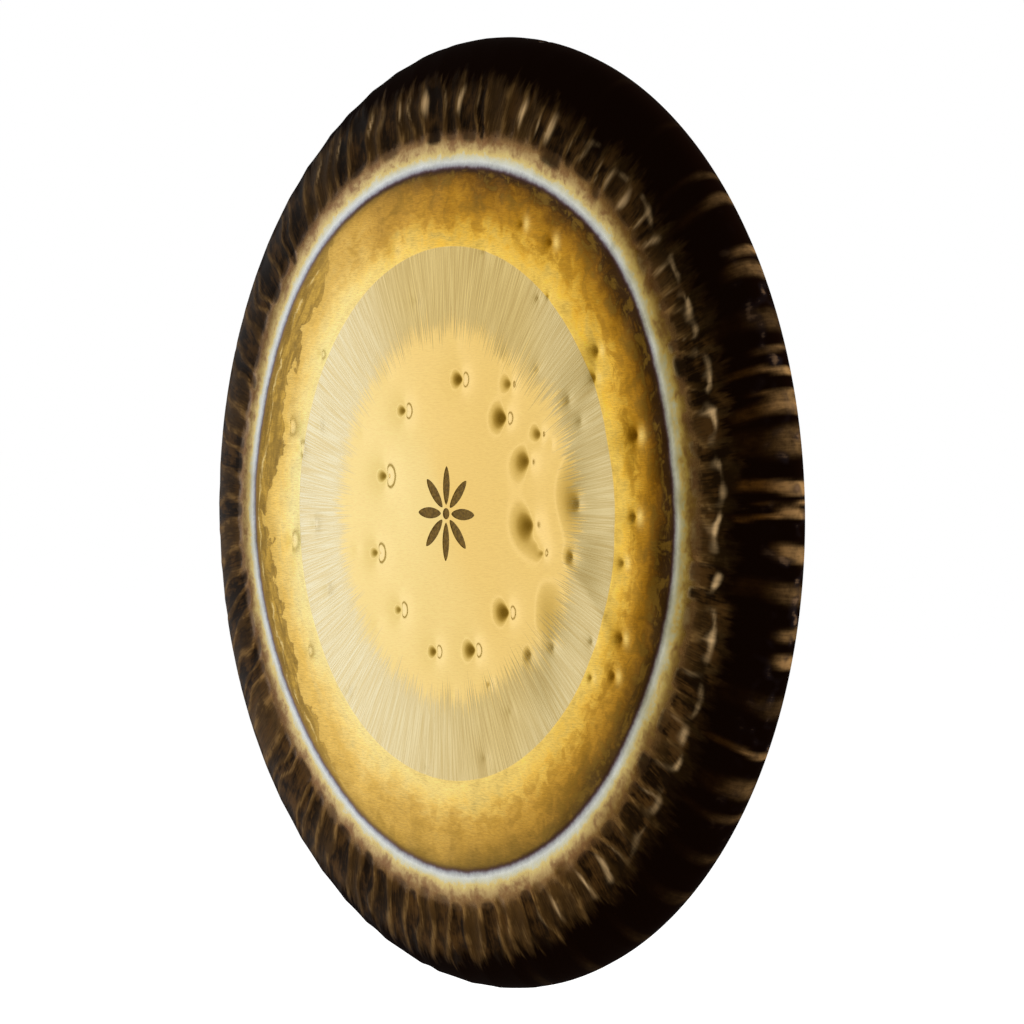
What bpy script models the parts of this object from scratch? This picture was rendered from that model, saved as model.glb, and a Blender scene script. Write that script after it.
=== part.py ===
"""A 28 inch hammered gong.

One bronze sheet makes the whole gong: a nearly flat, slightly crowned face, a shoulder that
turns back all round, and a short lip. Two cord holes are drilled through the turned wall near
the top, each lined with a rubber grommet that is pushed in from behind and ends flush outside.

Metres, +Z up. The face looks along -Y and the origin is the centre of the bounding box.
"""

import math

import bmesh
import bpy
import numpy as np

# Driving dimensions of the sheet
DIAMETER = 0.7112
DEPTH = 0.045
SHEET = 0.002
RIM_WIDTH = 0.0866
CROWN = 0.0025
LIP_RUN = 0.008
LIP_INSET = 0.002

# How full the turned shoulder is: each end's pull on the curve, as a share of its own way
SHOULDER_PULL = 0.63
BELLY_PULL = 0.52
LIP_PULL = 0.4

# Driving dimensions of the cord holes and their grommets
HOLE_ANGLE = math.radians(11.25)
HOLE_SETBACK = 0.009
HOLE_DIAMETER = 0.0104
GROMMET_BORE = 0.0076
GROMMET_FLANGE = 0.0144
GROMMET_FLANGE_THICKNESS = 0.0015
GROMMET_ROUNDING = 0.0006
FIT_GAP = 0.0003

# Fineness of the turned shapes
GONG_STEPS = 96
HOLE_STEPS = 32
FACE_POINTS = 5
SHOULDER_POINTS = 14
LIP_POINTS = 5
CORNER_POINTS = 4
FOOTPRINT_RINGS = 4
FOOTPRINT_STEPS = 24
WELD_DISTANCE = 1e-6
SMOOTH_ANGLE = math.radians(35)

# Worked out from the dimensions above
RADIUS = DIAMETER / 2
FACE_RADIUS = RADIUS - RIM_WIDTH
BELLY_DEPTH = DEPTH - LIP_RUN
HOLE_DEPTH = DEPTH - HOLE_SETBACK


def plain_material(name, colour, roughness, metallic):
    """A plain Principled material."""
    material = bpy.data.materials.new(name)
    material.use_nodes = True
    shader = material.node_tree.nodes["Principled BSDF"]
    shader.inputs["Base Color"].default_value = (*colour, 1.0)
    shader.inputs["Roughness"].default_value = roughness
    shader.inputs["Metallic"].default_value = metallic
    return material


def bezier(start, start_handle, end_handle, end, count):
    """Points along a cubic Bezier curve, both ends included."""
    share = np.linspace(0.0, 1.0, count)[:, None]
    rest = 1.0 - share
    return (
        rest**3 * np.array(start)
        + 3 * rest**2 * share * np.array(start_handle)
        + 3 * rest * share**2 * np.array(end_handle)
        + share**3 * np.array(end)
    )


def outer_profile():
    """The sheet's outer skin as (radius, depth behind the crown), from the axis to the lip's edge."""
    radii = np.linspace(0.0, FACE_RADIUS, FACE_POINTS)
    face = np.stack([radii, CROWN * (radii / FACE_RADIUS) ** 2], axis=1)

    ring = np.array([FACE_RADIUS, CROWN])
    belly = np.array([RADIUS, BELLY_DEPTH])
    run = SHOULDER_PULL * RIM_WIDTH
    rise = 2 * CROWN / FACE_RADIUS
    drop = BELLY_PULL * (BELLY_DEPTH - CROWN)
    shoulder = bezier(ring, ring + (run, run * rise), belly - (0.0, drop), belly, SHOULDER_POINTS)

    edge = np.array([RADIUS - LIP_INSET, DEPTH])
    lip = bezier(
        belly,
        belly + (0.0, LIP_PULL * LIP_RUN),
        edge + (LIP_PULL * LIP_INSET, -LIP_PULL * LIP_RUN),
        edge,
        LIP_POINTS,
    )
    return np.concatenate([face, shoulder[1:], lip[1:]])


def inner_profile(outer):
    """The outer skin moved in by the sheet's thickness, square to itself, with a flat lip edge."""
    along = np.gradient(outer, axis=0)
    along[0] = (1.0, 0.0)
    along /= np.linalg.norm(along, axis=1)[:, None]
    inward = np.stack([-along[:, 1], along[:, 0]], axis=1)
    inner = outer + SHEET * inward
    inner[-1] = (outer[-1, 0] - SHEET, outer[-1, 1])
    return inner


def facet_reach(angle):
    """How far the turned sheet's flat facets reach at an angle, as a share of their corner radius."""
    step = 2 * math.pi / GONG_STEPS
    return math.cos(step / 2) / math.cos(angle % step - step / 2)


def wall_heights(profile, spreads):
    """Distances of one skin of the wall from the gong's axis, square to the hole, round the hole."""
    heights = []
    for spread in spreads:
        for turn in np.linspace(0.0, 2 * math.pi, FOOTPRINT_STEPS, endpoint=False):
            depth = HOLE_DEPTH + spread * math.cos(turn)
            radius = np.interp(depth, profile[:, 1], profile[:, 0])
            offset = math.asin(spread * math.sin(turn) / radius)
            heights.append(radius * facet_reach(HOLE_ANGLE + offset) * math.cos(offset))
    return heights


def turned_mesh(name, profile, steps, closed):
    """A (radius, height) profile spun about +Z. An open one starts and ends on the axis."""
    mesh = bpy.data.meshes.new(name)
    shape = bmesh.new()
    line = [shape.verts.new((radius, 0.0, height)) for radius, height in profile]
    ends = list(zip(line, line[1:]))
    if closed:
        ends.append((line[-1], line[0]))
    edges = [shape.edges.new(pair) for pair in ends]
    bmesh.ops.spin(
        shape,
        geom=line + edges,
        cent=(0.0, 0.0, 0.0),
        axis=(0.0, 0.0, 1.0),
        angle=2 * math.pi,
        steps=steps,
        use_merge=True,
    )
    bmesh.ops.remove_doubles(shape, verts=shape.verts, dist=WELD_DISTANCE)
    bmesh.ops.recalc_face_normals(shape, faces=shape.faces)
    shape.to_mesh(mesh)
    shape.free()
    mesh.shade_smooth()
    mesh.set_sharp_from_angle(angle=SMOOTH_ANGLE)
    return mesh


def linked(name, mesh, material=None, parent=None):
    """An object in the scene that shows a mesh."""
    piece = bpy.data.objects.new(name, mesh)
    bpy.context.scene.collection.objects.link(piece)
    piece.parent = parent
    if material:
        mesh.materials.append(material)
    return piece


def hole_frame(side, wall_radius):
    """An empty on the wall at a cord hole, its +Z pointing straight out. Side is -1 or 1."""
    frame = linked(f"hole_frame_{'left' if side < 0 else 'right'}", None)
    angle = side * HOLE_ANGLE
    frame.location = (
        wall_radius * math.sin(angle),
        HOLE_DEPTH - DEPTH / 2,
        wall_radius * math.cos(angle),
    )
    frame.rotation_euler = (0.0, angle, 0.0)
    return frame


def hole_cutter(frame):
    """The drill for one cord hole, long enough to pass the wall on both sides."""
    reach = GROMMET_FLANGE
    radius = HOLE_DIAMETER / 2
    profile = [(0.0, -reach), (radius, -reach), (radius, reach), (0.0, reach)]
    drill = turned_mesh("drill", profile, HOLE_STEPS, False)
    cutter = linked(f"{frame.name}_drill", drill, parent=frame)
    cutter.hide_render = True
    cutter.display_type = "WIRE"
    return cutter


def corner(centre_radius, centre_height, rounding, start, end):
    """A rounded corner of a grommet, as profile points between two directions in degrees."""
    turns = np.radians(np.linspace(start, end, CORNER_POINTS))
    return [
        (centre_radius + rounding * math.cos(turn), centre_height + rounding * math.sin(turn))
        for turn in turns
    ]


def grommet_profile(neck_top, inner_seat):
    """A grommet's section round its bore: a neck that fills the hole and a flange behind the wall."""
    bore = GROMMET_BORE / 2
    neck = HOLE_DIAMETER / 2 - FIT_GAP
    flange = GROMMET_FLANGE / 2
    bottom = inner_seat - GROMMET_FLANGE_THICKNESS
    edge = GROMMET_ROUNDING
    neck_edge = min(GROMMET_ROUNDING, (neck - bore) / 3)
    section = corner(bore + edge, bottom + edge, edge, 180, 270)
    section += corner(flange - edge, bottom + edge, edge, 270, 360)
    section += [(flange, inner_seat), (neck, inner_seat)]
    section += corner(neck - neck_edge, neck_top - neck_edge, neck_edge, 0, 90)
    section += corner(bore + neck_edge, neck_top - neck_edge, neck_edge, 90, 180)
    return section


def gong_plate(outer, inner, drills):
    """The whole hammered sheet, drilled for its two cords."""
    skins = np.concatenate([outer, inner[::-1]])
    profile = [(radius, DEPTH / 2 - depth) for radius, depth in skins]
    bronze = plain_material("hammered_bronze", (0.72, 0.52, 0.20), 0.35, 1.0)
    plate = linked("gong_plate", turned_mesh("gong_plate", profile, GONG_STEPS, False), bronze)
    plate.rotation_euler = (math.pi / 2, 0.0, 0.0)
    for drill in drills:
        cut = plate.modifiers.new(drill.name, "BOOLEAN")
        cut.operation = "DIFFERENCE"
        cut.solver = "EXACT"
        cut.object = drill
    return plate


def main():
    for old in list(bpy.data.objects):
        bpy.data.objects.remove(old)

    outer = outer_profile()
    inner = inner_profile(outer)
    wall_radius = float(np.interp(HOLE_DEPTH, outer[:, 1], outer[:, 0]))
    hole_edge = [HOLE_DIAMETER / 2]
    under_flange = np.linspace(HOLE_DIAMETER / 2, GROMMET_FLANGE / 2, FOOTPRINT_RINGS)
    neck_top = min(wall_heights(outer, hole_edge)) - wall_radius
    inner_seat = min(wall_heights(inner, under_flange)) - FIT_GAP - wall_radius

    frames = {"left": hole_frame(-1, wall_radius), "right": hole_frame(1, wall_radius)}
    gong_plate(outer, inner, [hole_cutter(frame) for frame in frames.values()])

    rubber = plain_material("black_rubber", (0.02, 0.02, 0.02), 0.6, 0.0)
    section = grommet_profile(neck_top, inner_seat)
    for side, frame in frames.items():
        name = f"cord_grommet_{side}"
        linked(name, turned_mesh(name, section, HOLE_STEPS, True), rubber, frame)


main()
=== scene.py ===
# %% [markdown]
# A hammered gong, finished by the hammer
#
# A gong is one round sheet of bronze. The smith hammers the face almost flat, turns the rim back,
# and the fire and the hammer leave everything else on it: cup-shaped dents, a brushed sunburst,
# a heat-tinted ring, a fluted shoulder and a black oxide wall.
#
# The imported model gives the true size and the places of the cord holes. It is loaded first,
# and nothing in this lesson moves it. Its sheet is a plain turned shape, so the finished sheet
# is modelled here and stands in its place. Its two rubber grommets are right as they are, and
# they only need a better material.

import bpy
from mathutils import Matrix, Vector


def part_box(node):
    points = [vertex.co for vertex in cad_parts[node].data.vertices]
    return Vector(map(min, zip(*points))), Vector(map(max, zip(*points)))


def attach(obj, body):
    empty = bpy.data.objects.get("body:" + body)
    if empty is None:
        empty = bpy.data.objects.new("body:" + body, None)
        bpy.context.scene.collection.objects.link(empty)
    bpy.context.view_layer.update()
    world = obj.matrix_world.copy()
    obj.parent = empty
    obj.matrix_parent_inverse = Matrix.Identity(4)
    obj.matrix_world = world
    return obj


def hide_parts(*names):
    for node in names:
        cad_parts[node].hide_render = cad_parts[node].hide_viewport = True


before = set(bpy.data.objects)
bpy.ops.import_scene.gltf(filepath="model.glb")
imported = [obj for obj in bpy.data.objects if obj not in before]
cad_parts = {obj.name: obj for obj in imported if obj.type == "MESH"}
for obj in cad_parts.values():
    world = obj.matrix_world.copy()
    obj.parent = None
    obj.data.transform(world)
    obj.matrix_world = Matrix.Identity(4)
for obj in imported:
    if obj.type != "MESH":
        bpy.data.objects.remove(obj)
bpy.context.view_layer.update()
print("nodes:", sorted(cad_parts))

# %% Modules and units
import math

import bmesh
import bpy
import numpy as np
from mathutils import Matrix, Vector

MM = 0.001
plate_low, plate_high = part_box("gong_plate")
RADIUS = plate_high.x
DEPTH = plate_high.y - plate_low.y
FRONT = plate_low.y
print(f"the gong is {2 * RADIUS / MM:.1f} mm across and {DEPTH / MM:.1f} mm deep")

# %% [markdown]
# ## Camera
#
# The photograph was taken from well to the right of the gong's axis and a little above it, with
# a long lens, so the round face looks like a narrow egg. The camera is set from its angles and
# its distance to the middle of the face. It points a touch to the right of the middle and leans
# a little, because the photographer's did.

# %% Camera
CAMERA_AZIMUTH = math.radians(54.09)
CAMERA_ELEVATION = math.radians(1.92)
CAMERA_DISTANCE = 2.873
CAMERA_LENS = 135.5
SENSOR_WIDTH = 36.0
AIM_RIGHT = 0.0171
AIM_UP = 0.0006
CAMERA_ROLL = math.radians(0.57)


def looking_back(azimuth, elevation):
    """The direction from the gong towards someone who stands at an azimuth and an elevation."""
    return Vector((
        math.sin(azimuth) * math.cos(elevation),
        -math.cos(azimuth) * math.cos(elevation),
        math.sin(elevation),
    ))


def right_and_up(forward):
    """The level right and the up of someone who looks that way."""
    right = forward.cross(Vector((0, 0, 1))).normalized()
    return right, right.cross(forward)


def set_camera():
    """A camera at its distance from the middle of the face, aimed and leaning as given."""
    back = looking_back(CAMERA_AZIMUTH, CAMERA_ELEVATION)
    right, up = right_and_up(-back)
    forward = (-back + AIM_RIGHT * right + AIM_UP * up).normalized()
    right, up = right_and_up(forward)
    leaning_right = math.cos(CAMERA_ROLL) * right + math.sin(CAMERA_ROLL) * up
    leaning_up = math.cos(CAMERA_ROLL) * up - math.sin(CAMERA_ROLL) * right
    axes = Matrix((leaning_right, leaning_up, -forward)).transposed().to_4x4()
    lens = bpy.data.cameras.new("camera")
    lens.lens = CAMERA_LENS
    lens.sensor_width = SENSOR_WIDTH
    camera = bpy.data.objects.new("camera", lens)
    bpy.context.scene.collection.objects.link(camera)
    place = Vector((0, FRONT, 0)) + CAMERA_DISTANCE * back
    camera.matrix_world = Matrix.Translation(place) @ axes
    bpy.context.scene.camera = camera
    return camera


camera = set_camera()
print("camera at", [round(value, 3) for value in camera.location])

# %% [markdown]
# ## Studio
#
# The photograph has a plain white background. The world and the floor are white where the camera
# sees them, while the light that they give stays at a plain level. Metal mirrors only the white
# world, all round, so the floor stays out of its mirror and the screens can reach below it.
# Polished metal shows only what stands round it, so tinted screens stand in the white studio.
# They are seen in the metal only. They draw the dark side and the bright outline of every dent,
# and leave the far side of the face a little darker than the near side.

# %% Nodes in one line
WHITE = (1, 1, 1, 1)


def feed(tree, node, inputs):
    """Feeds a node's inputs, by name or number, with what varies or with a plain value."""
    for key, value in inputs.items():
        value = getattr(value, "socket", value)
        if isinstance(value, bpy.types.NodeSocket):
            tree.links.new(value, node.inputs[key])
        else:
            node.inputs[key].default_value = value


def add_node(tree, kind, inputs=None, **settings):
    """A new shader node with its settings, and with its inputs fed."""
    node = tree.nodes.new("ShaderNode" + kind)
    for name, value in settings.items():
        setattr(node, name, value)
    feed(tree, node, inputs or {})
    return node


def seen_by(tree, *kinds):
    """One where any of these kinds of ray meets the surface."""
    path = add_node(tree, "LightPath")
    total = path.outputs[kinds[0]]
    for kind in kinds[1:]:
        either = add_node(tree, "Math", {0: total, 1: path.outputs[kind]}, operation="MAXIMUM")
        total = either.outputs[0]
    return total


def new_material(name):
    """A new material, and its node tree."""
    material = bpy.data.materials.new(name)
    material.use_nodes = True
    return material, material.node_tree


# %% Planes and what sees them
def new_plane(name, size):
    """A square plane at the origin, with nothing else selected."""
    bpy.ops.object.select_all(action="DESELECT")
    bpy.ops.mesh.primitive_plane_add(size=size)
    plane = bpy.context.object
    plane.name = name
    return plane


def hide_from(piece, *rays):
    """Keeps a piece out of the way of some kinds of ray."""
    for ray in rays:
        setattr(piece, "visible_" + ray, False)


# %% Studio
WORLD_LEVEL = 0.6
BACKDROP_LEVEL = 1.0
FLOOR_GREY = 0.8
FLOOR_ROUGHNESS = 0.9
FLOOR_GAP = 0.26
FLOOR_SIZE = 60.0


def make_world():
    """A white world: at full level where it is seen or mirrored, at a plain one as light."""
    world = bpy.data.worlds.new("studio_world")
    world.use_nodes = True
    tree = world.node_tree
    light = tree.nodes["Background"]
    feed(tree, light, {"Color": WHITE, "Strength": WORLD_LEVEL})
    backdrop = add_node(tree, "Background", {"Color": WHITE, "Strength": BACKDROP_LEVEL})
    plainly = seen_by(tree, "Is Camera Ray", "Is Glossy Ray", "Is Transmission Ray")
    choose = add_node(tree, "MixShader", {0: plainly, 1: light.outputs[0], 2: backdrop.outputs[0]})
    feed(tree, tree.nodes["World Output"], {"Surface": choose.outputs[0]})
    bpy.context.scene.world = world


def make_floor():
    """A sheet of paper that the camera sees lifted to white."""
    floor = new_plane("studio_floor", FLOOR_SIZE)
    floor.location.z = -RADIUS - FLOOR_GAP
    paper, tree = new_material("white_paper")
    missing = 1.0 - FLOOR_GREY * WORLD_LEVEL
    seen = seen_by(tree, "Is Camera Ray")
    lift = add_node(tree, "Math", {0: seen, 1: missing}, operation="MULTIPLY")
    feed(tree, tree.nodes["Principled BSDF"], {
        "Base Color": (FLOOR_GREY, FLOOR_GREY, FLOOR_GREY, 1),
        "Roughness": FLOOR_ROUGHNESS,
        "Specular IOR Level": 0.0,
        "Emission Color": WHITE,
        "Emission Strength": lift.outputs[0],
    })
    floor.data.materials.append(paper)
    hide_from(floor, "glossy")


make_world()
make_floor()
print("white world and floor,", FLOOR_GAP, "m below the gong")

# %% [markdown]
# ## Lamps and screens
#
# The gold mirrors the white studio itself, which is as bright as white paper. Three softboxes, one
# of them behind the gong, light only what is dull, such as the rubber, the oxide and the floor,
# and stay out of the mirror. Each screen is a sheet of amber film: the metal mirrors the white
# studio through it. It is given by stops, which say how much red light comes through at an
# azimuth. Green fades a little faster and blue much faster. The near screen darkens what tilts to
# the right, and the narrow far one draws the thin line round a dent's right wall.

# %% Softboxes
# Each row: azimuth and elevation in degrees, distance, width and height in metres, radiance.
SOFTBOXES = {
    "key_softbox": (-62, 6, 2.3, 1.9, 2.2, 0.8),
    "fill_softbox": (62, 35, 2.6, 1.6, 1.6, 0.6),
    "back_softbox": (152, 38, 2.2, 0.9, 0.9, 12.0),
}
RADIANCE_TO_POWER = 4.0


def softbox(name, azimuth, elevation, distance, width, height, radiance):
    """A soft area lamp that faces the gong, as bright as a surface of that radiance."""
    lamp = bpy.data.lights.new(name, "AREA")
    lamp.shape = "RECTANGLE"
    lamp.size, lamp.size_y = width, height
    lamp.energy = radiance * width * height * RADIANCE_TO_POWER
    holder = bpy.data.objects.new(name, lamp)
    bpy.context.scene.collection.objects.link(holder)
    direction = looking_back(math.radians(azimuth), math.radians(elevation))
    holder.location = distance * direction
    holder.rotation_euler = direction.to_track_quat("Z", "Y").to_euler()
    hide_from(holder, "camera", "glossy")


for name, row in SOFTBOXES.items():
    softbox(name, *row)
print(len(SOFTBOXES), "softboxes")

# %% Screens of amber film
# The stops of each screen: azimuth in degrees and clearness there.
SCREENS = {
    "near_screen": [
        (-66, 1.0), (-59, 0.98), (-54, 0.91), (-50, 0.88), (-43.5, 0.87), (-43.2, 1.0),
        (-42.2, 1.0), (-41.8, 0.79), (-39.5, 0.73), (-37.5, 0.62), (-35, 0.42), (-31, 0.28),
        (-26, 0.17), (-5, 0.17), (0, 1.0),
    ],
    "far_screen": [(-71.2, 1.0), (-70.4, 0.36), (-67.6, 0.36), (-66.8, 1.0)],
}
SCREEN_DISTANCE = 0.9
SCREEN_HEIGHT = 3.2
AMBER_FILM = np.array((1.0, 1.17, 2.0))


def colour_ramp(tree, amount, stops):
    """A colour for each amount from 0 to 1, from stops given as pairs of amount and colour."""
    ramp = add_node(tree, "ValToRGB", {0: amount})
    elements = ramp.color_ramp.elements
    for _ in stops[2:]:
        elements.new(0.5)
    for element, (position, colour) in zip(elements, stops):
        element.position = position
        element.color = colour
    return ramp.outputs[0]


def amber_screen(name, stops):
    """A tinted sheet seen only in metal, as wide as its stops reach."""
    azimuths = np.radians([azimuth for azimuth, _ in stops])
    middle = (azimuths[0] + azimuths[-1]) / 2
    width = 2 * SCREEN_DISTANCE * math.tan((azimuths[-1] - azimuths[0]) / 2)
    shares = 0.5 + SCREEN_DISTANCE * np.tan(azimuths - middle) / width
    direction = looking_back(middle, 0.0)
    screen = new_plane(name, 1.0)
    screen.scale = (width, SCREEN_HEIGHT, 1.0)
    screen.location = SCREEN_DISTANCE * direction
    screen.rotation_euler = direction.to_track_quat("Z", "Y").to_euler()
    film, tree = new_material(name + "_film")
    across = add_node(tree, "SeparateXYZ", {0: add_node(tree, "TexCoord").outputs["UV"]})
    tints = [(*(clear**AMBER_FILM), 1) for _, clear in stops]
    tint = colour_ramp(tree, across.outputs["X"], list(zip(shares, tints)))
    clear_film = add_node(tree, "BsdfTransparent", {"Color": tint})
    feed(tree, tree.nodes["Material Output"], {"Surface": clear_film.outputs[0]})
    screen.data.materials.append(film)
    hide_from(screen, "camera", "diffuse", "transmission", "shadow")


for name, stops in SCREENS.items():
    amber_screen(name, stops)
print(len(SCREENS), "screens")

# %% [markdown]
# ## The section of the sheet
#
# Cut through the middle, the gong shows one thin line: a face that is crowned by only a couple
# of millimetres, a shoulder that turns back in one full curve, and a short lip that turns in a
# little. The line is drawn with two Bezier curves between points that come from the frame's
# box. Every point on the sheet then has a name of its own, its way: how far it lies from the
# middle, measured along the metal. Finish and hammer work follow the way and the turn, the
# clock angle round the axis.

# %% The section of the sheet
SHEET = 2 * MM
RIM_WIDTH = 86.6 * MM
CROWN = 2.5 * MM
LIP_RUN = 8 * MM
LIP_INSET = 2 * MM
SHOULDER_PULL = 0.63
BELLY_PULL = 0.52
LIP_PULL = 0.4
FACE_RADIUS = RADIUS - RIM_WIDTH
CURVE_POINTS = 400


def bezier(start, start_handle, end_handle, end):
    share = np.linspace(0.0, 1.0, CURVE_POINTS)[:, None]
    rest = 1.0 - share
    return (
        rest**3 * np.array(start)
        + 3 * rest**2 * share * np.array(start_handle)
        + 3 * rest * share**2 * np.array(end_handle)
        + share**3 * np.array(end)
    )


def sheet_section():
    """The outer skin as (radius, depth behind the crown), finely, from the axis to the lip."""
    radii = np.linspace(0.0, FACE_RADIUS, CURVE_POINTS)
    face = np.stack([radii, CROWN * (radii / FACE_RADIUS) ** 2], axis=1)
    ring = np.array([FACE_RADIUS, CROWN])
    belly = np.array([RADIUS, DEPTH - LIP_RUN])
    edge = np.array([RADIUS - LIP_INSET, DEPTH])
    run = SHOULDER_PULL * RIM_WIDTH
    drop = BELLY_PULL * (belly[1] - CROWN)
    slope = 2 * CROWN / FACE_RADIUS
    shoulder = bezier(ring, ring + (run, run * slope), belly - (0, drop), belly)
    lip = bezier(
        belly,
        belly + (0, LIP_PULL * LIP_RUN),
        edge + (LIP_PULL * LIP_INSET, -LIP_PULL * LIP_RUN),
        edge,
    )
    return np.concatenate([face, shoulder[1:], lip[1:]])


section = sheet_section()
steps = np.linalg.norm(np.diff(section, axis=0), axis=1)
section_way = np.concatenate([[0.0], np.cumsum(steps)])
along = np.gradient(section, section_way, axis=0)
along /= np.linalg.norm(along, axis=1)[:, None]
section_inward = np.stack([-along[:, 1], along[:, 0]], axis=1)
LIP_WAY = section_way[-1]


def on_section(way):
    """Where the outer skin lies at a way, and its inward direction, as (radius, depth) pairs."""
    place = [np.interp(way, section_way, section[:, side]) for side in (0, 1)]
    inward = [np.interp(way, section_way, section_inward[:, side]) for side in (0, 1)]
    return np.stack(place, axis=-1), np.stack(inward, axis=-1)


print(f"the sheet is {LIP_WAY / MM:.1f} mm from its middle to the lip's edge")

# %% [markdown]
# ## Turning the sheet
#
# The sheet is turned in bands. Each band's line is drawn point by point with extrude, then spun
# round the axis. The rim gets many more columns than the middle, because its flutes are fine and
# its way round is long, and the back gets fewer, because it is plainer. The bands are joined, and
# each gap between two of them is bridged, so the whole sheet is one closed skin.

# %% A band of the sheet
SEED_SIZE = 1 * MM
WELD = 0.001 * MM


def choose(*pieces):
    """Selects these pieces and nothing else, and makes the first one the active one."""
    bpy.ops.object.select_all(action="DESELECT")
    for piece in pieces:
        piece.select_set(True)
    bpy.context.view_layer.objects.active = pieces[0]


def draw_line(points):
    """A new object with one line of points, drawn by pulling a point on with extrude."""
    line = new_plane("band", SEED_SIZE)
    bpy.ops.object.mode_set(mode="EDIT")
    bpy.ops.mesh.select_all(action="SELECT")
    bpy.ops.mesh.merge(type="CENTER")
    bpy.ops.transform.translate(value=points[0])
    for here, there in zip(points, points[1:]):
        bpy.ops.mesh.extrude_region_move(TRANSFORM_OT_translate={"value": there - here})
    bpy.ops.mesh.select_all(action="SELECT")
    return line


def skin_points(ways, sink):
    """Points of a skin that lies some depth below the outer one, as (radius, y) pairs."""
    place, inward = on_section(ways)
    place = place + sink * inward
    place[ways <= 0, 0] = 0.0
    if sink:
        place[ways >= LIP_WAY] = (RADIUS - LIP_INSET - sink, DEPTH)
    return place + (0.0, FRONT)


def spin_band(ways, sink, columns):
    """One band of the sheet, spun round the gong's axis at some depth below the outer skin."""
    band = draw_line([Vector((radius, y, 0)) for radius, y in skin_points(ways, sink)])
    bpy.ops.mesh.spin(steps=columns, angle=2 * math.pi, center=(0, 0, 0), axis=(0, 1, 0))
    bpy.ops.mesh.select_all(action="SELECT")
    bpy.ops.mesh.remove_doubles(threshold=WELD)
    bpy.ops.object.mode_set(mode="OBJECT")
    return band


# %% All the bands
# From the middle of the face round the lip to the middle of the back. Each row: way at its
# start and end in mm, rings along it, columns round it.
FRONT_BANDS = [
    (0, 44, 11, 96),
    (47, 108, 18, 192),
    (111, 176, 20, 320),
    (179, 262, 26, 448),
    (264.5, 322, 28, 720),
    (324.5, None, 18, 720),
]
BACK_BANDS = [
    (None, 262, 20, 320),
    (256, 120, 24, 224),
    (115, 0, 20, 144),
]


def band_ways(start, end, rings):
    first = LIP_WAY if start is None else start * MM
    last = LIP_WAY if end is None else end * MM
    return np.linspace(first, last, rings + 1)


def join(objects, name):
    """One object from several, as with join in the object menu."""
    choose(*objects)
    bpy.ops.object.join()
    joined = bpy.context.object
    joined.name = name
    joined.data.name = name
    return joined


bands = [
    (band_ways(start, end, rings), sink, columns)
    for rows, sink in ((FRONT_BANDS, 0.0), (BACK_BANDS, SHEET))
    for start, end, rings, columns in rows
]
gong = join([spin_band(*band) for band in bands], "hammered_gong")
print(len(gong.data.vertices), "points in", len(bands), "bands")

# %% Bridge the gaps between the bands
ON_RING = 0.1 * MM


def bridge(mesh, first, second):
    """Fills the gap between two open rings, each given as (radius, y)."""
    bpy.ops.mesh.select_all(action="DESELECT")
    shape = bmesh.from_edit_mesh(mesh)
    for edge in shape.edges:
        if edge.is_boundary:
            corner = edge.verts[0].co
            spot = Vector((math.hypot(corner.x, corner.z), corner.y))
            if min((spot - first).length, (spot - second).length) < ON_RING:
                edge.select = True
    bmesh.update_edit_mesh(mesh)
    bpy.ops.mesh.bridge_edge_loops()


bpy.ops.object.mode_set(mode="EDIT")
bpy.ops.mesh.select_mode(type="EDGE")
for (ways, sink, _), (next_ways, next_sink, _) in zip(bands, bands[1:]):
    ends = skin_points(ways[-1:], sink)[0], skin_points(next_ways[:1], next_sink)[0]
    bridge(gong.data, Vector(ends[0]), Vector(ends[1]))
bpy.ops.mesh.select_all(action="SELECT")
bpy.ops.mesh.normals_make_consistent(inside=False)
bpy.ops.object.mode_set(mode="OBJECT")


def report(piece):
    """Prints how fine a mesh is and whether it is closed."""
    shape = bmesh.new()
    shape.from_mesh(piece.data)
    open_edges = sum(1 for edge in shape.edges if not edge.is_manifold)
    triangles = sum(len(face.verts) - 2 for face in shape.faces)
    volume = shape.calc_volume(signed=True)
    shape.free()
    print(f"{piece.name}: {triangles} triangles, {open_edges} open edges, {volume * 1e6:.0f} cm3")


report(gong)

# %% [markdown]
# ## Cord holes
#
# Two holes are drilled through the turned wall near the top, and the grommets that line them
# are already in the frame. Each drill is a cylinder that stands where its grommet is, points
# straight out from the axis, and is a little thicker than the grommet's waist. A Boolean cut
# is the drilling.

# %% Drill the cord holes
HOLE_DIAMETER = 10.4 * MM
DRILL_LENGTH = 30 * MM
DRILL_SIDES = 48


def grommet_place(side):
    """The middle of a grommet, and its clock angle, both taken from the frame."""
    low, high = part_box(f"cord_grommet_{side}")
    middle = (low + high) / 2
    return middle, math.atan2(middle.x, middle.z)


def cut(piece, cutter):
    """Cuts a piece with another one, which is then thrown away."""
    choose(piece)
    boolean = piece.modifiers.new("cut", "BOOLEAN")
    boolean.operation = "DIFFERENCE"
    boolean.solver = "EXACT"
    boolean.object = cutter
    bpy.ops.object.modifier_apply(modifier=boolean.name)
    bpy.data.objects.remove(cutter)


for side in ("left", "right"):
    middle, turn = grommet_place(side)
    bpy.ops.object.select_all(action="DESELECT")
    bpy.ops.mesh.primitive_cylinder_add(
        vertices=DRILL_SIDES,
        radius=HOLE_DIAMETER / 2,
        depth=DRILL_LENGTH,
        location=middle,
        rotation=(0, turn, 0),
    )
    cut(gong, bpy.context.object)
    print(f"{side} hole at {math.degrees(turn):.2f} degrees")
report(gong)

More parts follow.
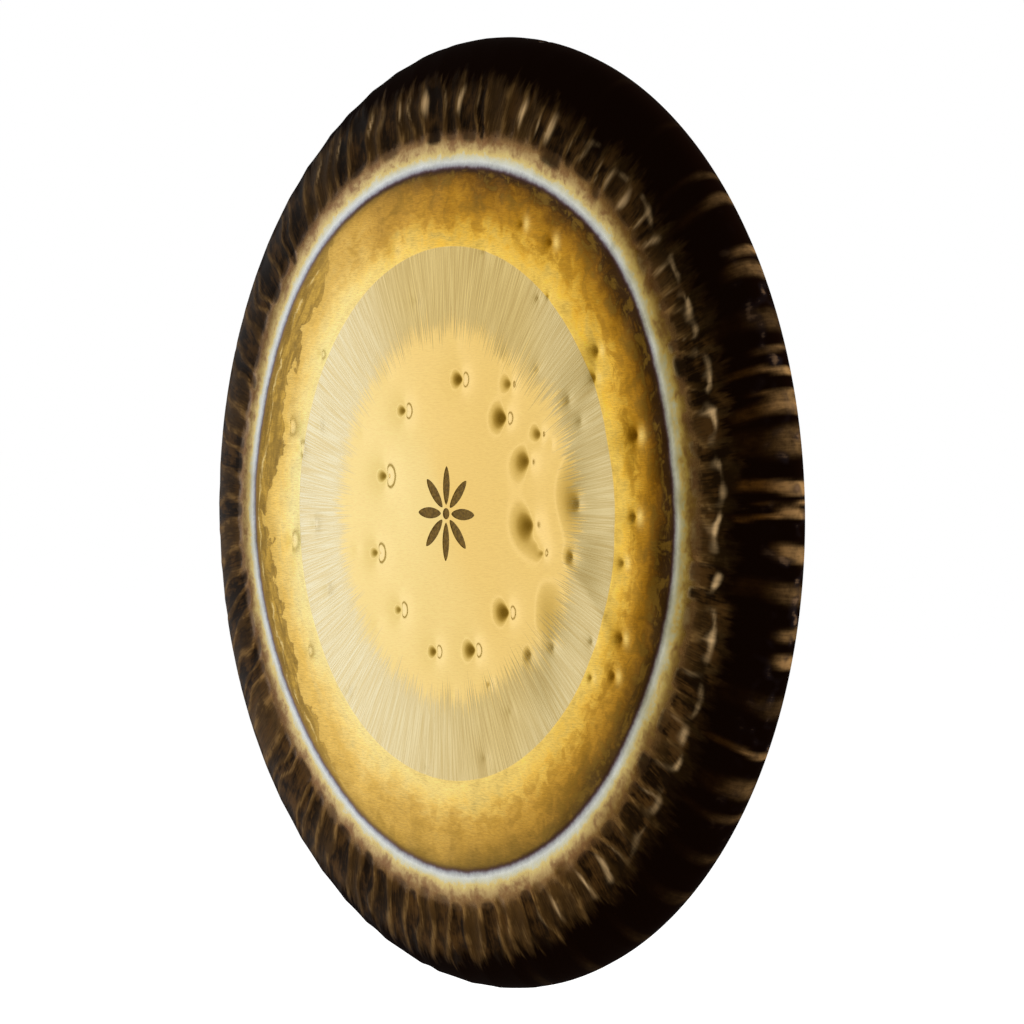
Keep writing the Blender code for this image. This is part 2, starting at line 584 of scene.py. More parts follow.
# %% [markdown]
# ## The rosette in the middle
#
# A small rosette is engraved in the middle of the face and filled with brown: eight pointed
# petals round a dot. One petal is shaped from a cylinder that is pressed into an oval and pulled
# to a point at each end. It is copied round the middle, and all of them are cut into the face at
# once, which gives the floor of the cut crisp walls.

# %% Engrave the rosette
ENGRAVING_DEPTH = 0.45 * MM
PETALS = 8
PETAL_MIDDLE = 21 * MM
PETAL_LENGTH = 22 * MM
PETAL_WIDTH = 8.5 * MM
PETAL_TIP = 3.5 * MM
PETAL_SIDES = 40
AT_TIP = 0.01 * MM
DOT_RADIUS = 4.2 * MM


def stamp(name, height, width, sides):
    """An oval punch that stands on the face and reaches down to the engraving's floor."""
    bpy.ops.object.select_all(action="DESELECT")
    bpy.ops.mesh.primitive_cylinder_add(
        vertices=sides,
        radius=0.5,
        depth=2 * ENGRAVING_DEPTH,
        location=(0, FRONT, 0),
        rotation=(math.pi / 2, 0, 0),
    )
    punch = bpy.context.object
    punch.name = name
    punch.scale = (width, height, 1)
    bpy.ops.object.transform_apply(location=True, rotation=True, scale=True)
    return punch


def petal():
    """One pointed petal, above the middle."""
    punch = stamp("petal", PETAL_LENGTH, PETAL_WIDTH, PETAL_SIDES)
    bpy.ops.object.mode_set(mode="EDIT")
    for end in (-1, 1):
        bpy.ops.mesh.select_all(action="DESELECT")
        shape = bmesh.from_edit_mesh(punch.data)
        for vertex in shape.verts:
            vertex.select = abs(vertex.co.z - end * PETAL_LENGTH / 2) < AT_TIP
        shape.select_flush(True)
        bmesh.update_edit_mesh(punch.data)
        bpy.ops.transform.translate(
            value=(0, 0, end * PETAL_TIP),
            use_proportional_edit=True,
            proportional_edit_falloff="SHARP",
            proportional_size=PETAL_LENGTH / 2,
        )
    bpy.ops.mesh.select_all(action="SELECT")
    bpy.ops.transform.translate(value=(0, 0, PETAL_MIDDLE))
    bpy.ops.object.mode_set(mode="OBJECT")
    return punch


def turned_copy(piece, turn):
    """A copy with its own mesh, turned round the gong's axis."""
    choose(piece)
    bpy.ops.object.duplicate()
    bpy.ops.object.mode_set(mode="EDIT")
    bpy.ops.mesh.select_all(action="SELECT")
    bpy.ops.transform.rotate(value=turn, orient_axis="Y", center_override=(0, 0, 0))
    bpy.ops.object.mode_set(mode="OBJECT")
    return bpy.context.object


bronze, _ = new_material("hammered_bronze_finish")
enamel, _ = new_material("brown_engraving")
gong.data.materials.append(bronze)
gong.data.materials.append(enamel)
punches = [petal()]
punches += [turned_copy(punches[0], turn * 2 * math.pi / PETALS) for turn in range(1, PETALS)]
punches.append(stamp("dot", 2 * DOT_RADIUS, 2 * DOT_RADIUS, PETAL_SIDES))
rosette = join(punches, "rosette")
rosette.data.materials.append(enamel)
cut(gong, rosette)
report(gong)
print("faces in the engraving:", sum(1 for face in gong.data.polygons if face.material_index))

# %% [markdown]
# ## Where the hammer fell
#
# The face carries a loose ring of deep cup-shaped dents round the middle, smaller ones on the
# brushed band, and small stray ones outside it. On the right the last strokes ran together into
# wide shallow dishes. Each stroke is written down as on graph paper laid over the face: how far
# across and how far up from the middle it lies, how wide it spreads and how deep it goes, all in
# millimetres. The mesh is too coarse for most of them, so the faces under each of these are
# subdivided first.

# %% The strokes, as on graph paper
# Each row: across and up, spread and depth of a cup, in mm.
CUPS = [
    (15, 100, 7.5, 3.3), (-57, 76, 6.8, 3.0), (-82, 26, 8.4, 3.9), (-92, -33, 7.4, 3.3),
    (-60, -75, 6.4, 2.7), (-14, -104, 6.4, 2.7), (34, -100, 8.0, 3.3), (75, -70, 9.0, 3.5),
    (69, 72, 9.0, 3.5), (76, 97, 7.0, 1.9), (112, 61, 7.5, 2.1), (126, 54, 4.5, 0.8),
    (98, 41, 10.5, 2.9), (103, -5, 12.5, 3.4), (117, -25, 6.0, 1.5), (55, -124, 4.5, 1.0),
]
SOFT_CUPS = [
    (73, 117, 9, 1.0), (-79, 105, 9, 0.5), (-111, 58, 5, 0.4), (-118, -32, 5, 0.5),
    (9, 126, 8, 0.5), (47, 137, 8, 0.5), (-118, 121, 6, 0.3), (9, -134, 7, 0.6),
    (-90, -88, 9, 0.5), (110, -19, 10, 0.9),
]
BURST_CUPS = [
    (157, 12, 4.6, 0.8), (152, -26, 4.6, 0.8), (130, -92, 4.6, 0.8), (104, -99, 6.0, 1.2),
    (146, 86, 5, 0.6), (160, 71, 5, 0.5), (110, 108, 5, 0.6), (-43, 159, 5, 0.9),
    (-171, 119, 4, 1.0), (-172, 63, 4, 0.9), (-178, -14, 4.4, 1.2), (-159, -64, 4.6, 1.0),
    (-130, -142, 3.4, 0.9), (50, -179, 6, 0.9), (81, -142, 5, 0.6), (109, 159, 3.4, 0.7),
    (121, 160, 3.4, 0.7), (42, 194, 3.4, 0.7),
]
OUTER_CUPS = [
    (-211, -28, 5.4, 1.7), (-199, 45, 4.6, 1.3), (-216, 62, 6.4, 1.9), (-187, -114, 4.6, 1.1),
    (-73, 197, 6, 0.9), (88, 213, 5, 1.0), (123, 199, 5.4, 1.1), (175, 102, 4.8, 1.1),
    (178, 121, 4.8, 1.1), (223, 62, 5.6, 1.4), (222, 5, 5.6, 1.4), (209, -28, 4.8, 1.1),
    (201, -108, 4.8, 1.1), (175, -111, 4, 1.0), (175, -85, 4, 1.0), (209, -81, 4.8, 1.1),
    (-24, -192, 3.5, 0.6),
]
# Each row: across and up, radius and depth of a dish, in mm.
DISHES = [
    (172, 14, 51, 2.1), (184, -32, 49, 1.9), (150, -70, 48, 2.0), (138, -108, 45, 1.8),
    (170, 86, 44, 1.0),
]
STROKES = CUPS + SOFT_CUPS + BURST_CUPS + OUTER_CUPS


def stroke_places(strokes):
    """Strokes in metres: rows of across, up, spread or radius, and depth."""
    return np.array(strokes, float) * MM


print(len(STROKES), "hammer strokes and", len(DISHES), "wide shallow dishes")

# %% Refine the mesh under the strokes
REFINE_CUTS = 2
REFINE_REACH = 1.8
FRONT_SKIN_REACH = 1 * MM


def refine(piece, strokes):
    """Subdivides the front skin's faces round each hammer stroke."""
    places = stroke_places(strokes)
    bpy.ops.object.mode_set(mode="EDIT")
    bpy.ops.mesh.select_mode(type="FACE")
    bpy.ops.mesh.select_all(action="DESELECT")
    shape = bmesh.from_edit_mesh(piece.data)
    chosen = 0
    for face in shape.faces:
        middle = face.calc_center_median()
        radius = math.hypot(middle.x, middle.z)
        sink = middle.y - FRONT - CROWN * (radius / FACE_RADIUS) ** 2
        if radius > FACE_RADIUS or sink > FRONT_SKIN_REACH:
            continue
        apart = np.hypot(places[:, 0] - middle.x, places[:, 1] - middle.z)
        if (apart < REFINE_REACH * places[:, 2]).any():
            face.select = True
            chosen += 1
    bmesh.update_edit_mesh(piece.data)
    bpy.ops.mesh.subdivide(number_cuts=REFINE_CUTS)
    bpy.ops.object.mode_set(mode="OBJECT")
    return chosen


choose(gong)
print(refine(gong, CUPS + BURST_CUPS + OUTER_CUPS), "faces refined")
report(gong)

# %% [markdown]
# ## Pressing the strokes into the metal
#
# A hammer moves both skins of the sheet at once: a cup in the face is a bulge at the back. So
# each point of the sheet is moved inward, along the line square to the outer skin, by a depth
# that depends only on its way and its turn. The depths are worked out with formulas in numpy,
# because a hundred thousand points with sixty strokes and ninety-six flutes are too many to
# push one by one. Nothing ever moves outward, so the gong keeps its size.
#
# The first formulas say how a single cup, a wide dish and a gentle swell are shaped, and where a
# painted highlight lies just right of a cup.

# %% Shapes of the marks
CUP_BOTTOM = 0.32
# Painted highlight beside a cup: how far right of it, how tall and how big, as shares of its
# spread.
CUP_HIGHLIGHT_SIDE = 0.9
CUP_HIGHLIGHT_TALL = 0.7
CUP_HIGHLIGHT_SIZE = 0.75
SWELL_SPREAD = (0.75, 1.35)
SWELL_PEAK = 1.6


def smooth_step(value, low, high):
    share = np.clip((value - low) / (high - low), 0.0, 1.0)
    return share * share * (3 - 2 * share)


def cups(across, up, strokes):
    """Ball-hammer cups: steep near a small round bottom, soft and wide towards the edge."""
    total = np.zeros_like(across)
    for x, z, spread, depth in stroke_places(strokes):
        apart = np.hypot(across - x, up - z) / spread
        total += depth * np.exp(CUP_BOTTOM - np.hypot(apart, CUP_BOTTOM))
    return total


def painted_cup_highlight(across, up, strokes):
    """From 0 to 1 where a painted highlight lies, just right of each cup."""
    total = np.zeros_like(across)
    for x, z, spread, _ in stroke_places(strokes):
        beside = across - x - CUP_HIGHLIGHT_SIDE * spread
        apart = np.hypot(beside, CUP_HIGHLIGHT_TALL * (up - z)) / (CUP_HIGHLIGHT_SIZE * spread)
        total = np.maximum(total, np.exp(-(apart**2)))
    return total


def dishes(across, up, strokes):
    """Wide shallow dishes. Where two meet the deeper one wins, which leaves a scalloped edge."""
    total = np.zeros_like(across)
    for x, z, radius, depth in stroke_places(strokes):
        apart = np.hypot(across - x, up - z) / radius
        total = np.maximum(total, depth * np.clip(1 - apart**2, 0, None) ** 2)
    return total


def swell(across, up, length, waves, seed):
    """Gentle unevenness from -1 to 1: crossing waves of about one length."""
    random = np.random.RandomState(seed)
    total = np.zeros_like(across)
    for _ in range(waves):
        heading = random.uniform(0, 2 * math.pi)
        wave = 2 * math.pi / (length * random.uniform(*SWELL_SPREAD))
        start = random.uniform(0, 2 * math.pi)
        total += np.sin(wave * (across * math.cos(heading) + up * math.sin(heading)) + start)
    return total / math.sqrt(waves) / SWELL_PEAK


cup_depths = cups(np.array((0, 8, 16)) * MM, np.zeros(3), [(0, 0, 8, 3)]) / MM
print("a cup 3 mm deep, at its middle, one spread and two spreads off:", cup_depths.round(2))

# %% [markdown]
# ## The heat ring and the flutes
#
# When the rim was hot, the heat stopped at the foot of the shoulder and left a ring there. The
# ring wanders by several millimetres, and its wandering is written down at fourteen clock angles.
#
# Outside it, the smith drove the metal back with a round-faced hammer, one stroke beside the
# other. Each stroke left a flute with a round tip. Beyond the knuckle of the shoulder a second
# row of broader strokes turned the wall. No two are alike, so their borders, tips and depths
# are drawn from a seeded random row. What changes slowly round the rim, such as the fire's stain
# with its painted shade and the wear with its painted highlights, is written down by the clock,
# like the ring.

# %% What changes round the clock
# Each pair: clock angle in degrees and a value there.
RING_PLACES = [
    (-180, 271.3), (-155, 265.2), (-130, 262), (-90, 269), (-75, 267), (-45, 270.3), (-20, 264.7),
    (0, 261), (20, 265.3), (47, 275), (75, 267.6), (95, 270.5), (120, 266.5), (150, 270.5),
    (180, 271.3),
]
KNUCKLE_PLACES = [
    (-180, 334), (-140, 344), (-90, 350), (-45, 342), (-10, 325), (30, 316), (60, 315), (90, 311),
    (125, 314), (155, 323), (180, 334),
]
# How deep the fire's stain is, from 0 to 1, together with painted shade: darkest at the top and on
# the right, lightest on the left.
STAIN_AND_SHADE_PLACES = [
    (-180, 0.52), (-140, 0.18), (-90, 0), (-45, 0.25), (-20, 0.8), (0, 1), (95, 1), (140, 0.88),
    (180, 0.52),
]
# How much nearer to the fire, or farther from it, the gold looks than it is, in mm.
HEAT_PLACES = [
    (-180, -8), (-150, -9), (-135, -11), (-110, -8), (-90, -6), (-45, -14), (0, -12), (20, -4),
    (45, 4), (70, 3), (95, 1), (135, 2), (160, -3), (180, -8),
]
# How hollow the strokes on the wall are, as a share of their full depth.
HOLLOW_PLACES = [(-180, 1), (-20, 1), (-5, 0.35), (65, 0.35), (80, 1), (180, 1)]
# How thin the oxide is in the bands of the wall, as a share of their full strength.
BAND_PLACES = [(-180, 1), (-20, 1), (0, 0.6), (50, 0.6), (75, 1), (180, 1)]
# How much wear and painted highlight lie on the knuckle and in the flutes, from 0 to 1.
WEAR_AND_HIGHLIGHT_PLACES = [
    (-180, 0.35), (-130, 0.1), (-50, 0.15), (-20, 0.7), (20, 0.8), (60, 0.9), (100, 1), (135, 1),
    (180, 0.35),
]
SMOOTHING = math.radians(6)


def half_turn(turn):
    """The same turn, from half a turn back to half a turn on."""
    return (turn + math.pi) % (2 * math.pi) - math.pi


def by_clock(turn, places):
    """A value at each turn, smoothly between the places of a table."""
    angles, values = np.array(places, float).T
    shifts = (-SMOOTHING, 0.0, SMOOTHING)
    near = [np.interp(half_turn(turn + shift), np.radians(angles), values) for shift in shifts]
    return sum(near) / len(shifts)


def ring_way(turn):
    """The way of the heat ring's middle."""
    return by_clock(turn, RING_PLACES) * MM


ring_ways = ring_way(np.radians((0, 90, 180, -90))) / MM
print("the ring's way at the top, right, bottom and left, in mm:", ring_ways.round(1))

# %% Flutes and wall strokes
FLUTES = 96
FLUTE_JITTER = 0.33
FLUTE_DEPTH = 0.95 * MM
TIP_BEYOND_RING = 16.0 * MM
TIP_SCATTER = 4.5 * MM
TIP_ROUNDNESS = 6.0 * MM
FLUTE_LEAN = 0.35
FLUTE_WANDER = math.radians(0.72)
WANDER_LENGTH = 70 * MM
LEAN_FROM = 311 * MM
KNUCKLE_SCATTER = 3.5 * MM
KNUCKLE_ROUNDNESS = 4.5 * MM
STROKE_RISE = 9 * MM
WALL_STROKES = 62
WALL_JITTER = 0.22
WALL_DEPTH = 0.85 * MM
WALL_LEAN = 0.4
WALL_RISE = 10 * MM
LIP_PLAIN = 4 * MM
LIP_FADE = 14 * MM


def borders(count, jitter, random):
    """Turns of the borders between a row of strokes, uneven by some share of a stroke."""
    step = 2 * math.pi / count
    turns = step * np.arange(count + 1) - math.pi
    turns[1:-1] += random.uniform(-jitter, jitter, count - 1) * step
    return turns


def across_stroke(turn, turns):
    """Which stroke of a row a point lies in, and how far across it, from -1 to 1."""
    turn = half_turn(turn)
    index = np.clip(np.searchsorted(turns, turn, side="right") - 1, 0, len(turns) - 2)
    return index, 2 * (turn - turns[index]) / (turns[index + 1] - turns[index]) - 1


def wave(turn, length, seed):
    """Unevenness round the rim, from -1 to 1."""
    return swell(turn * RADIUS, 0 * turn, length, waves=8, seed=seed)


def lean(way, turn):
    """How far the strokes slant, a little more in some stretches of the rim than in others."""
    slant = FLUTE_LEAN * (0.55 * np.sin(3 * turn + 0.7) + 0.45 * np.sin(7 * turn + 2.0))
    return slant * (way - LEAN_FROM) / RADIUS


# %% The rows of strokes, each a little different
rim_random = np.random.RandomState(28)
flute_turns = borders(FLUTES, FLUTE_JITTER, rim_random)
flute_tips = rim_random.uniform(-1, 1, FLUTES) * TIP_SCATTER
flute_depths = rim_random.uniform(0.6, 1.15, FLUTES) * FLUTE_DEPTH
flute_darkness = 0.3 + 0.7 * rim_random.uniform(0.0, 1.0, FLUTES) ** 1.5
flute_ends = rim_random.uniform(-1, 1, FLUTES) * KNUCKLE_SCATTER
flute_wear_and_highlight = rim_random.uniform(0.15, 1.0, FLUTES)
wall_turns = borders(WALL_STROKES, WALL_JITTER, rim_random)
wall_starts = rim_random.uniform(-1, 1, WALL_STROKES) * KNUCKLE_SCATTER
wall_depths = rim_random.uniform(0.6, 1.1, WALL_STROKES) * WALL_DEPTH
print(FLUTES, "flutes and", WALL_STROKES, "wall strokes")

# %% How deep the strokes are, where they are dark, and where they carry wear and painted highlights
ARC_BACK = 2 * MM
ARC_WANDER = 3.5 * MM
STREAK_SIDE = -0.75
STREAK_BACK = 14 * MM


def round_end(side):
    """How far a stroke's round end lies behind its tip, from 0 in its middle to 1 at its edge."""
    return 1 - np.sqrt(np.clip(1 - side**2, 0, 1))


def bell(value, width):
    """One where a value is nought, fading to nothing a little past the width on each side."""
    return np.exp(-((value / width) ** 2))


def wear_and_painted_highlight(turn, past_end, flute, side):
    """Wear and painted highlight: a broken arc along the knuckle and a streak in each flute."""
    from_arc = (past_end + ARC_BACK - ARC_WANDER * wave(turn, 40 * MM, seed=13)) / MM
    arc = 0.7 * bell(from_arc, 3.0 + 1.2 * wave(turn, 26 * MM, seed=19))
    arc *= smooth_step(wave(turn, 24 * MM, seed=17), -0.7, 0.9)
    second = smooth_step(wave(turn, 20 * MM, seed=23), -0.2, 0.8)
    arc += 0.25 * bell(from_arc + 4, 5) * second
    streak = bell(side - STREAK_SIDE, 0.24) * bell(past_end + STREAK_BACK, 11 * MM)
    # Painted highlight: the arc is laid only on the right half of the rim, and the streaks are
    # weaker there.
    sideways = np.clip(np.sin(turn), 0, 1) ** 2
    wear_and_highlight = sideways * arc + (1 - 0.75 * sideways) * flute_wear_and_highlight[flute] * streak
    return wear_and_highlight * by_clock(turn, WEAR_AND_HIGHLIGHT_PLACES)


def rim_marks(way, turn):
    """The rim's strokes: their depth, the flutes, the distance past the knuckle, and the wear and
    painted highlights.
    """
    wander = FLUTE_WANDER * swell(2 * way, turn * RADIUS, WANDER_LENGTH, waves=6, seed=11)
    flute, side = across_stroke(turn + lean(way, turn) + wander, flute_turns)
    tip = ring_way(turn) + TIP_BEYOND_RING + flute_tips[flute]
    past_tip = way - tip - TIP_ROUNDNESS * round_end(side)
    stroke, wall_side = across_stroke(turn + WALL_LEAN * lean(way, turn), wall_turns)
    knuckle = by_clock(turn, KNUCKLE_PLACES) * MM
    past_knuckle = way - knuckle - wall_starts[stroke] - KNUCKLE_ROUNDNESS * round_end(wall_side)

    flute_hollow = flute_depths[flute] * (1 - side**2) * smooth_step(past_tip, 0, STROKE_RISE)
    flute_hollow *= 1 - smooth_step(past_knuckle, -STROKE_RISE, 1 * MM)
    wall_hollow = wall_depths[stroke] * (1 - wall_side**2) * by_clock(turn, HOLLOW_PLACES)
    wall_hollow *= smooth_step(past_knuckle, 0, WALL_RISE)
    wall_hollow *= 1 - smooth_step(way, LIP_WAY - LIP_FADE, LIP_WAY - LIP_PLAIN)

    inside = smooth_step(past_tip, -1 * MM, 3 * MM) * (1 - smooth_step(np.abs(side), 0.45, 1.0))
    past_end = way - knuckle - 0.5 * flute_ends[flute]
    wear_and_highlight = wear_and_painted_highlight(turn, past_end, flute, side)
    return flute_hollow + wall_hollow, inside * flute_darkness[flute], past_knuckle, wear_and_highlight


# %% Bands of thin oxide on the wall
# Each row: clock angle and half width in degrees, how bright the band is, and the way in mm
# where it starts.
WALL_BANDS = [
    (28, 1.0, 0.06, 324), (38, 0.8, 0.08, 322), (46.6, 0.7, 0.25, 318), (50.5, 1.0, 0.35, 320),
    (57.3, 0.7, 0.5, 348), (60, 1.2, 0.4, 338), (66, 1.6, 0.2, 320), (69.5, 0.5, 0.3, 340),
    (72, 0.5, 0.6, 318), (74.5, 0.4, 0.5, 335), (76.4, 1.0, 0.55, 318), (80, 2.0, 0.3, 316),
    (85.1, 0.8, 0.95, 316), (87, 0.3, 0.5, 330), (88.5, 0.35, 0.95, 314), (92.6, 1.1, 0.55, 345),
    (97, 1.4, 0.3, 316), (101.5, 0.8, 0.45, 354), (105, 0.9, 0.65, 356), (110, 1.6, 0.16, 318),
    (116, 0.5, 0.5, 318), (121, 1.6, 0.26, 326), (125, 0.8, 0.2, 318), (131, 1.1, 0.12, 322),
    (138, 1.4, 0.12, 324), (147, 1.2, 0.1, 328), (156, 1.4, 0.1, 330), (166, 1.2, 0.1, 332),
]
BAND_SWAY = 0.3
BAND_SWAY_LENGTH = 12 * MM


def wall_bands(way, turn):
    """How thin the oxide is on the wall, from 0 to 1."""
    total = np.zeros_like(way)
    for clock, width, strength, start in WALL_BANDS:
        past_start = way - start * MM
        apart = np.degrees(half_turn(turn - math.radians(clock)))
        apart -= BAND_SWAY * np.sin(past_start / BAND_SWAY_LENGTH + clock)
        band = 1 - smooth_step(np.abs(apart), 0.3 * width, 1.3 * width)
        band *= strength * smooth_step(past_start, -4 * MM, 14 * MM)
        total = np.maximum(total, band)
    return total * by_clock(turn, BAND_PLACES)


print(len(WALL_BANDS), "bands of thin oxide")

# %% [markdown]
# ## Moving the points
#
# Every point's way is found from how far it lies from the axis and how deep, because the sum of
# the two always grows along the section. The depth of all the marks is added up there, faded
# out at the middle, at the lip, which has to stay flat, and round the grommets, which need a
# plain seat. What the finish has to follow is kept on the mesh as attributes: the way, how far
# past the ring and the knuckle a point lies, the fire's stain with the painted shade that darkens
# the top and the right, the fire's pull, the skin, where a painted highlight lies beside an outer
# cup, and where the metal is fluted, where it carries wear and painted highlights, and where it is
# banded. The renderer keeps the name heat for itself and would read nought there, so the fire's
# pull goes by another name.

# %% Find each point's way and turn
GROMMET_CLEAR = 11 * MM
GROMMET_FADE = 9 * MM
MIDDLE_PLAIN = 36 * MM
MIDDLE_FADE = 30 * MM
SWELL_DEPTH = 0.32 * MM
SWELL_LENGTH = 85 * MM
SWELL_END = (262 * MM, 300 * MM)
OUTER_SWELL_DEPTH = 0.3 * MM
OUTER_SWELL_LENGTH = 30 * MM
OUTER_SWELL_START = (195 * MM, 215 * MM)
OUTER_SWELL_END = (262 * MM, 285 * MM)


def skin_line(sink):
    """A skin's line as (radius + depth, way), which grow together, for looking up a way."""
    place = section + sink * section_inward
    keys = place.sum(axis=1)
    growing = np.concatenate([[True], np.diff(np.maximum.accumulate(keys)) > 0])
    return keys[growing], section_way[growing]


def points_of(mesh):
    points = np.zeros(len(mesh.vertices) * 3, np.float32)
    mesh.vertices.foreach_get("co", points)
    return points.reshape(-1, 3).astype(float)


def locate(points):
    """Each point's way and turn, and 1 where it lies on the back skin."""
    radius = np.hypot(points[:, 0], points[:, 2])
    depth = points[:, 1] - FRONT
    turn = np.arctan2(points[:, 0], points[:, 2])
    ways = [np.interp(radius + depth, *skin_line(sink)) for sink in (0.0, SHEET)]
    gaps = []
    for way, sink in zip(ways, (0.0, SHEET)):
        place, inward = on_section(way)
        place = place + sink * inward
        gaps.append(np.hypot(place[:, 0] - radius, place[:, 1] - depth))
    behind = gaps[1] < gaps[0]
    return np.where(behind, ways[1], ways[0]), turn, behind.astype(float)


def pressed(way, turn):
    """How far the hammer has pressed the sheet in, at each way and turn."""
    across, up = way * np.sin(turn), way * np.cos(turn)
    face = smooth_step(way, MIDDLE_PLAIN, MIDDLE_PLAIN + MIDDLE_FADE)
    face *= 1 - smooth_step(way, *SWELL_END)
    total = face * SWELL_DEPTH * (0.5 + 0.5 * swell(across, up, SWELL_LENGTH, waves=9, seed=3))
    outer = smooth_step(way, *OUTER_SWELL_START) * (1 - smooth_step(way, *OUTER_SWELL_END))
    rough = swell(across, up, OUTER_SWELL_LENGTH, waves=12, seed=5)
    total += outer * OUTER_SWELL_DEPTH * (0.5 + 0.5 * rough)
    total += dishes(across, up, DISHES) + cups(across, up, STROKES)
    total += rim_marks(way, turn)[0]
    place = on_section(way)[0]
    for side in ("left", "right"):
        middle, hole_turn = grommet_place(side)
        round_wall = (turn - hole_turn) * RADIUS
        apart = np.hypot(round_wall, place[:, 1] + FRONT - middle.y)
        total *= smooth_step(apart, GROMMET_CLEAR, GROMMET_CLEAR + GROMMET_FADE)
    return np.clip(total, 0, None) * (1 - smooth_step(way, LIP_WAY - LIP_PLAIN, LIP_WAY - 2 * MM))


# %% Press them in and keep the attributes


def keep_on_mesh(mesh, name, values):
    """A value for each point, kept on the mesh for the finish to read."""
    attribute = mesh.attributes.new(name, "FLOAT", "POINT")
    attribute.data.foreach_set("value", values.astype(np.float32))


points = points_of(gong.data)
way, turn, behind = locate(points)
depth = pressed(way, turn)
inward = on_section(way)[1]
points[:, 0] += depth * inward[:, 0] * np.sin(turn)
points[:, 2] += depth * inward[:, 0] * np.cos(turn)
points[:, 1] += depth * inward[:, 1]
gong.data.vertices.foreach_set("co", points.astype(np.float32).ravel())
_, inside_flute, past_knuckle, wear_and_highlight = rim_marks(way, turn)
kept = {
    "way": way,
    "past_ring": way - ring_way(turn),
    "past_knuckle": past_knuckle,
    # the fire's stain together with painted shade, darkest at the top and on the right
    "stain_and_shade": by_clock(turn, STAIN_AND_SHADE_PLACES),
    "fire": by_clock(turn, HEAT_PLACES),
    "back_skin": behind,
    # painted highlight just right of each outer cup
    "cup_highlight": painted_cup_highlight(way * np.sin(turn), way * np.cos(turn), OUTER_CUPS),
    "flute": inside_flute,
    # wear and painted highlight on the knuckle and in the flutes
    "wear_and_highlight": wear_and_highlight,
    "band": wall_bands(way, turn),
}
for name, values in kept.items():
    keep_on_mesh(gong.data, name, values)
gong.data.update()
print(f"pressed in by up to {depth.max() / MM:.2f} mm, {depth.mean() / MM:.2f} mm on average")
print("kept on the mesh:", ", ".join(kept))

# %% Smooth shading
SHARP_ANGLE = math.radians(38)

choose(gong)
bpy.ops.object.shade_smooth_by_angle(angle=SHARP_ANGLE)
report(gong)

# %% [markdown]
# ## A workbench for finishes
#
# A finish is a formula that gives a colour, a roughness and a height to every place on the
# metal. Blender writes such formulas as nodes. To keep them readable here, a number that varies
# over the surface is wrapped in a small class, so that plus, minus and times make the nodes.
# Lengths stay in metres, and colours are written as a screen shows them, from 0 to 255.

# %% Numbers that vary over the surface
KNEE, SLOPE, LIFT, POWER = 0.04045, 12.92, 0.055, 2.4


def paint(red, green, blue):
    """A colour as a screen shows it, from 0 to 255, made linear for the shader."""
    shown = np.array((red, green, blue)) / 255
    linear = np.where(shown <= KNEE, shown / SLOPE, ((shown + LIFT) / (1 + LIFT)) ** POWER)
    return (*linear, 1.0)


class Amount:
    """A number that differs from place to place. Sums and products of it make nodes."""

    def __init__(self, tree, socket):
        self.tree = tree
        self.socket = socket

    def math(self, operation, *others, first=None):
        values = [self, *others] if first is None else [first, self]
        node = add_node(self.tree, "Math", dict(enumerate(values)), operation=operation)
        return Amount(self.tree, node.outputs[0])

    def __add__(self, other):
        return self.math("ADD", other)

    def __sub__(self, other):
        return self.math("SUBTRACT", other)

    def __rsub__(self, other):
        return self.math("SUBTRACT", first=other)

    def __mul__(self, other):
        return self.math("MULTIPLY", other)

    def __truediv__(self, other):
        return self.math("DIVIDE", other)

    __radd__ = __add__
    __rmul__ = __mul__

    def step(self, low, high):
        """From 0 at low to 1 at high, softly."""
        values = dict(enumerate((self, low, high, 0.0, 1.0)))
        node = add_node(self.tree, "MapRange", values, interpolation_type="SMOOTHSTEP")
        return Amount(self.tree, node.outputs[0])

    def bell(self, middle, width):
        """One at the middle, fading to nothing a little past the width on each side."""
        apart = (self - middle) / width
        return (apart * apart * -1.0).math("EXPONENT")


